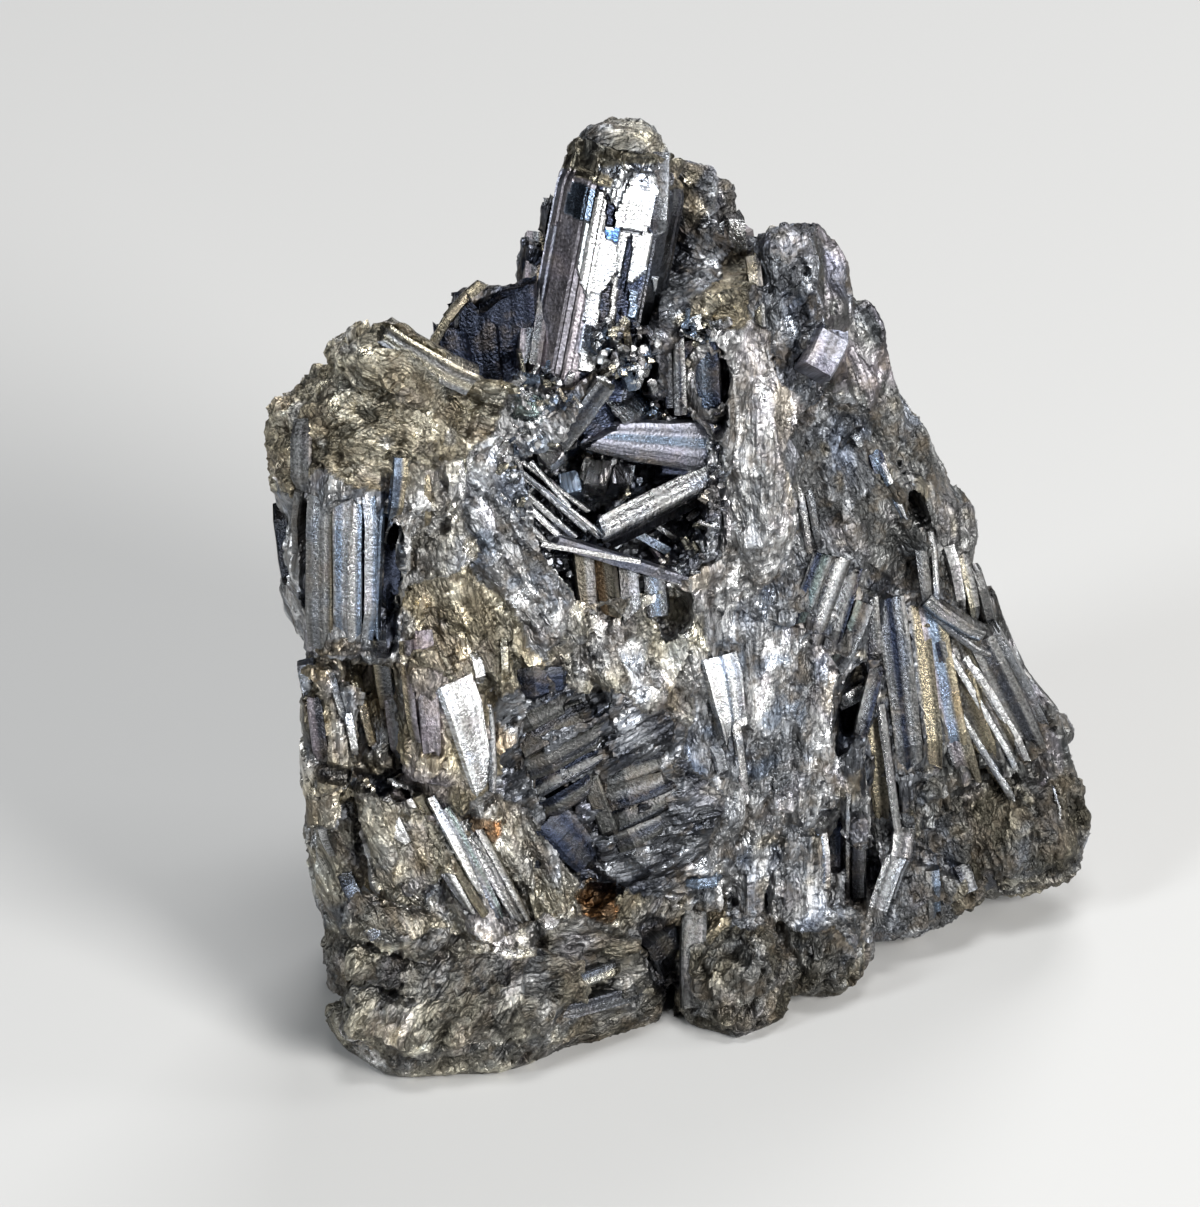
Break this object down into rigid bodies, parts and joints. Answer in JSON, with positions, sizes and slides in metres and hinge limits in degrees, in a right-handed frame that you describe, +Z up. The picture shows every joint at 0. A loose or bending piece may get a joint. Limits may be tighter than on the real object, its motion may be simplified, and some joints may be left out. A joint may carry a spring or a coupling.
{
  "type": "stibnite crystal spray",
  "caption": "Steep hand specimen of lead-grey stibnite: bladed and prismatic crystals grown together, with a crystal-lined hollow in front and a flat trimmed base.",
  "frame": {"origin": "middle of the bounding box at the flat base, on the surface it stands on", "axes": "+Z up, towards the big blunt prism at the top; the front with the hollow faces -Y; +X is to the right seen from the front"},
  "size_m": [0.0838, 0.0536, 0.0896],
  "materials": {
    "stibnite": "bright metallic lustre on crystal faces, matt where broken",
    "stibnite_hollow": "bright metallic lustre"
  },
  "bodies": {
    "root": {"stibnite_cluster": "stibnite", "hollow_crystals": "stibnite_hollow"}
  },
  "joints": []
}
